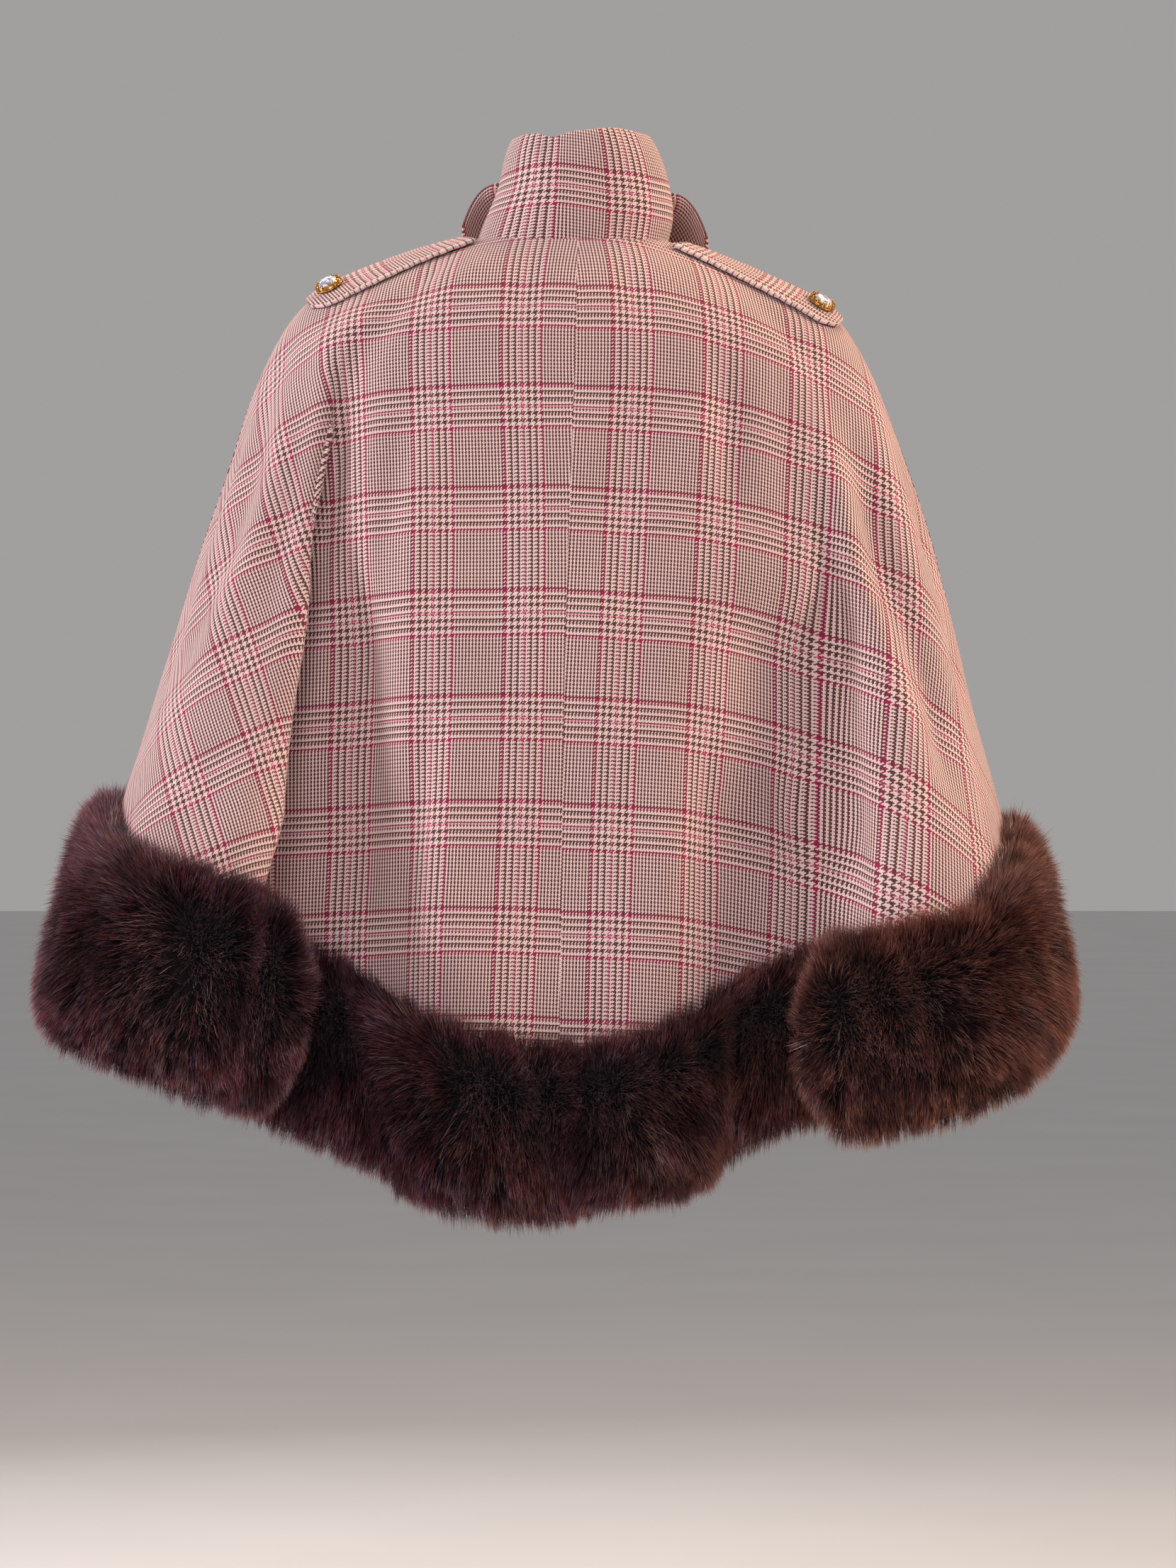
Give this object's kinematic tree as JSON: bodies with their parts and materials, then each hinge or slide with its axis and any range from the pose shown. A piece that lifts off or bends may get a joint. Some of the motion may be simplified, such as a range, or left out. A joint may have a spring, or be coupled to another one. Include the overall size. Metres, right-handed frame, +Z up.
{
  "type": "worn hip-length cape with a fur hem, held by a mount on the wearer's shoulders",
  "caption": "Worn tweed cape with a stand collar, shoulder straps with jewelled buttons, arm folds and a deep long-haired fur band round the hem, open and hollow inside.",
  "frame": {"origin": "middle of the neck, level with the collar seam at the centre back", "axes": "+Z up, -Y the garment's front, +X the wearer's left"},
  "size_m": [0.8005, 0.4352, 0.8465],
  "materials": {
    "tweed": "woollen twill in a glen check",
    "tweed_double": "doubled woollen twill, small check",
    "fur": "long-haired dark fur",
    "gold": "bright gold tone",
    "stone": "clear faceted stone"
  },
  "bodies": {
    "root": {"back_left": "tweed", "back_right": "tweed", "front_left": "tweed", "front_right": "tweed", "collar": "tweed_double", "collar_wing_left": "tweed_double", "collar_wing_right": "tweed_double", "epaulette_left": "tweed_double", "epaulette_right": "tweed_double", "bezel_left": "gold", "bezel_right": "gold", "stone_left": "stone", "stone_right": "stone", "fur_back_left": "fur", "fur_back_right": "fur", "fur_side_left": "fur", "fur_side_right": "fur", "fur_front_left": "fur", "fur_front_right": "fur"}
  },
  "joints": []
}
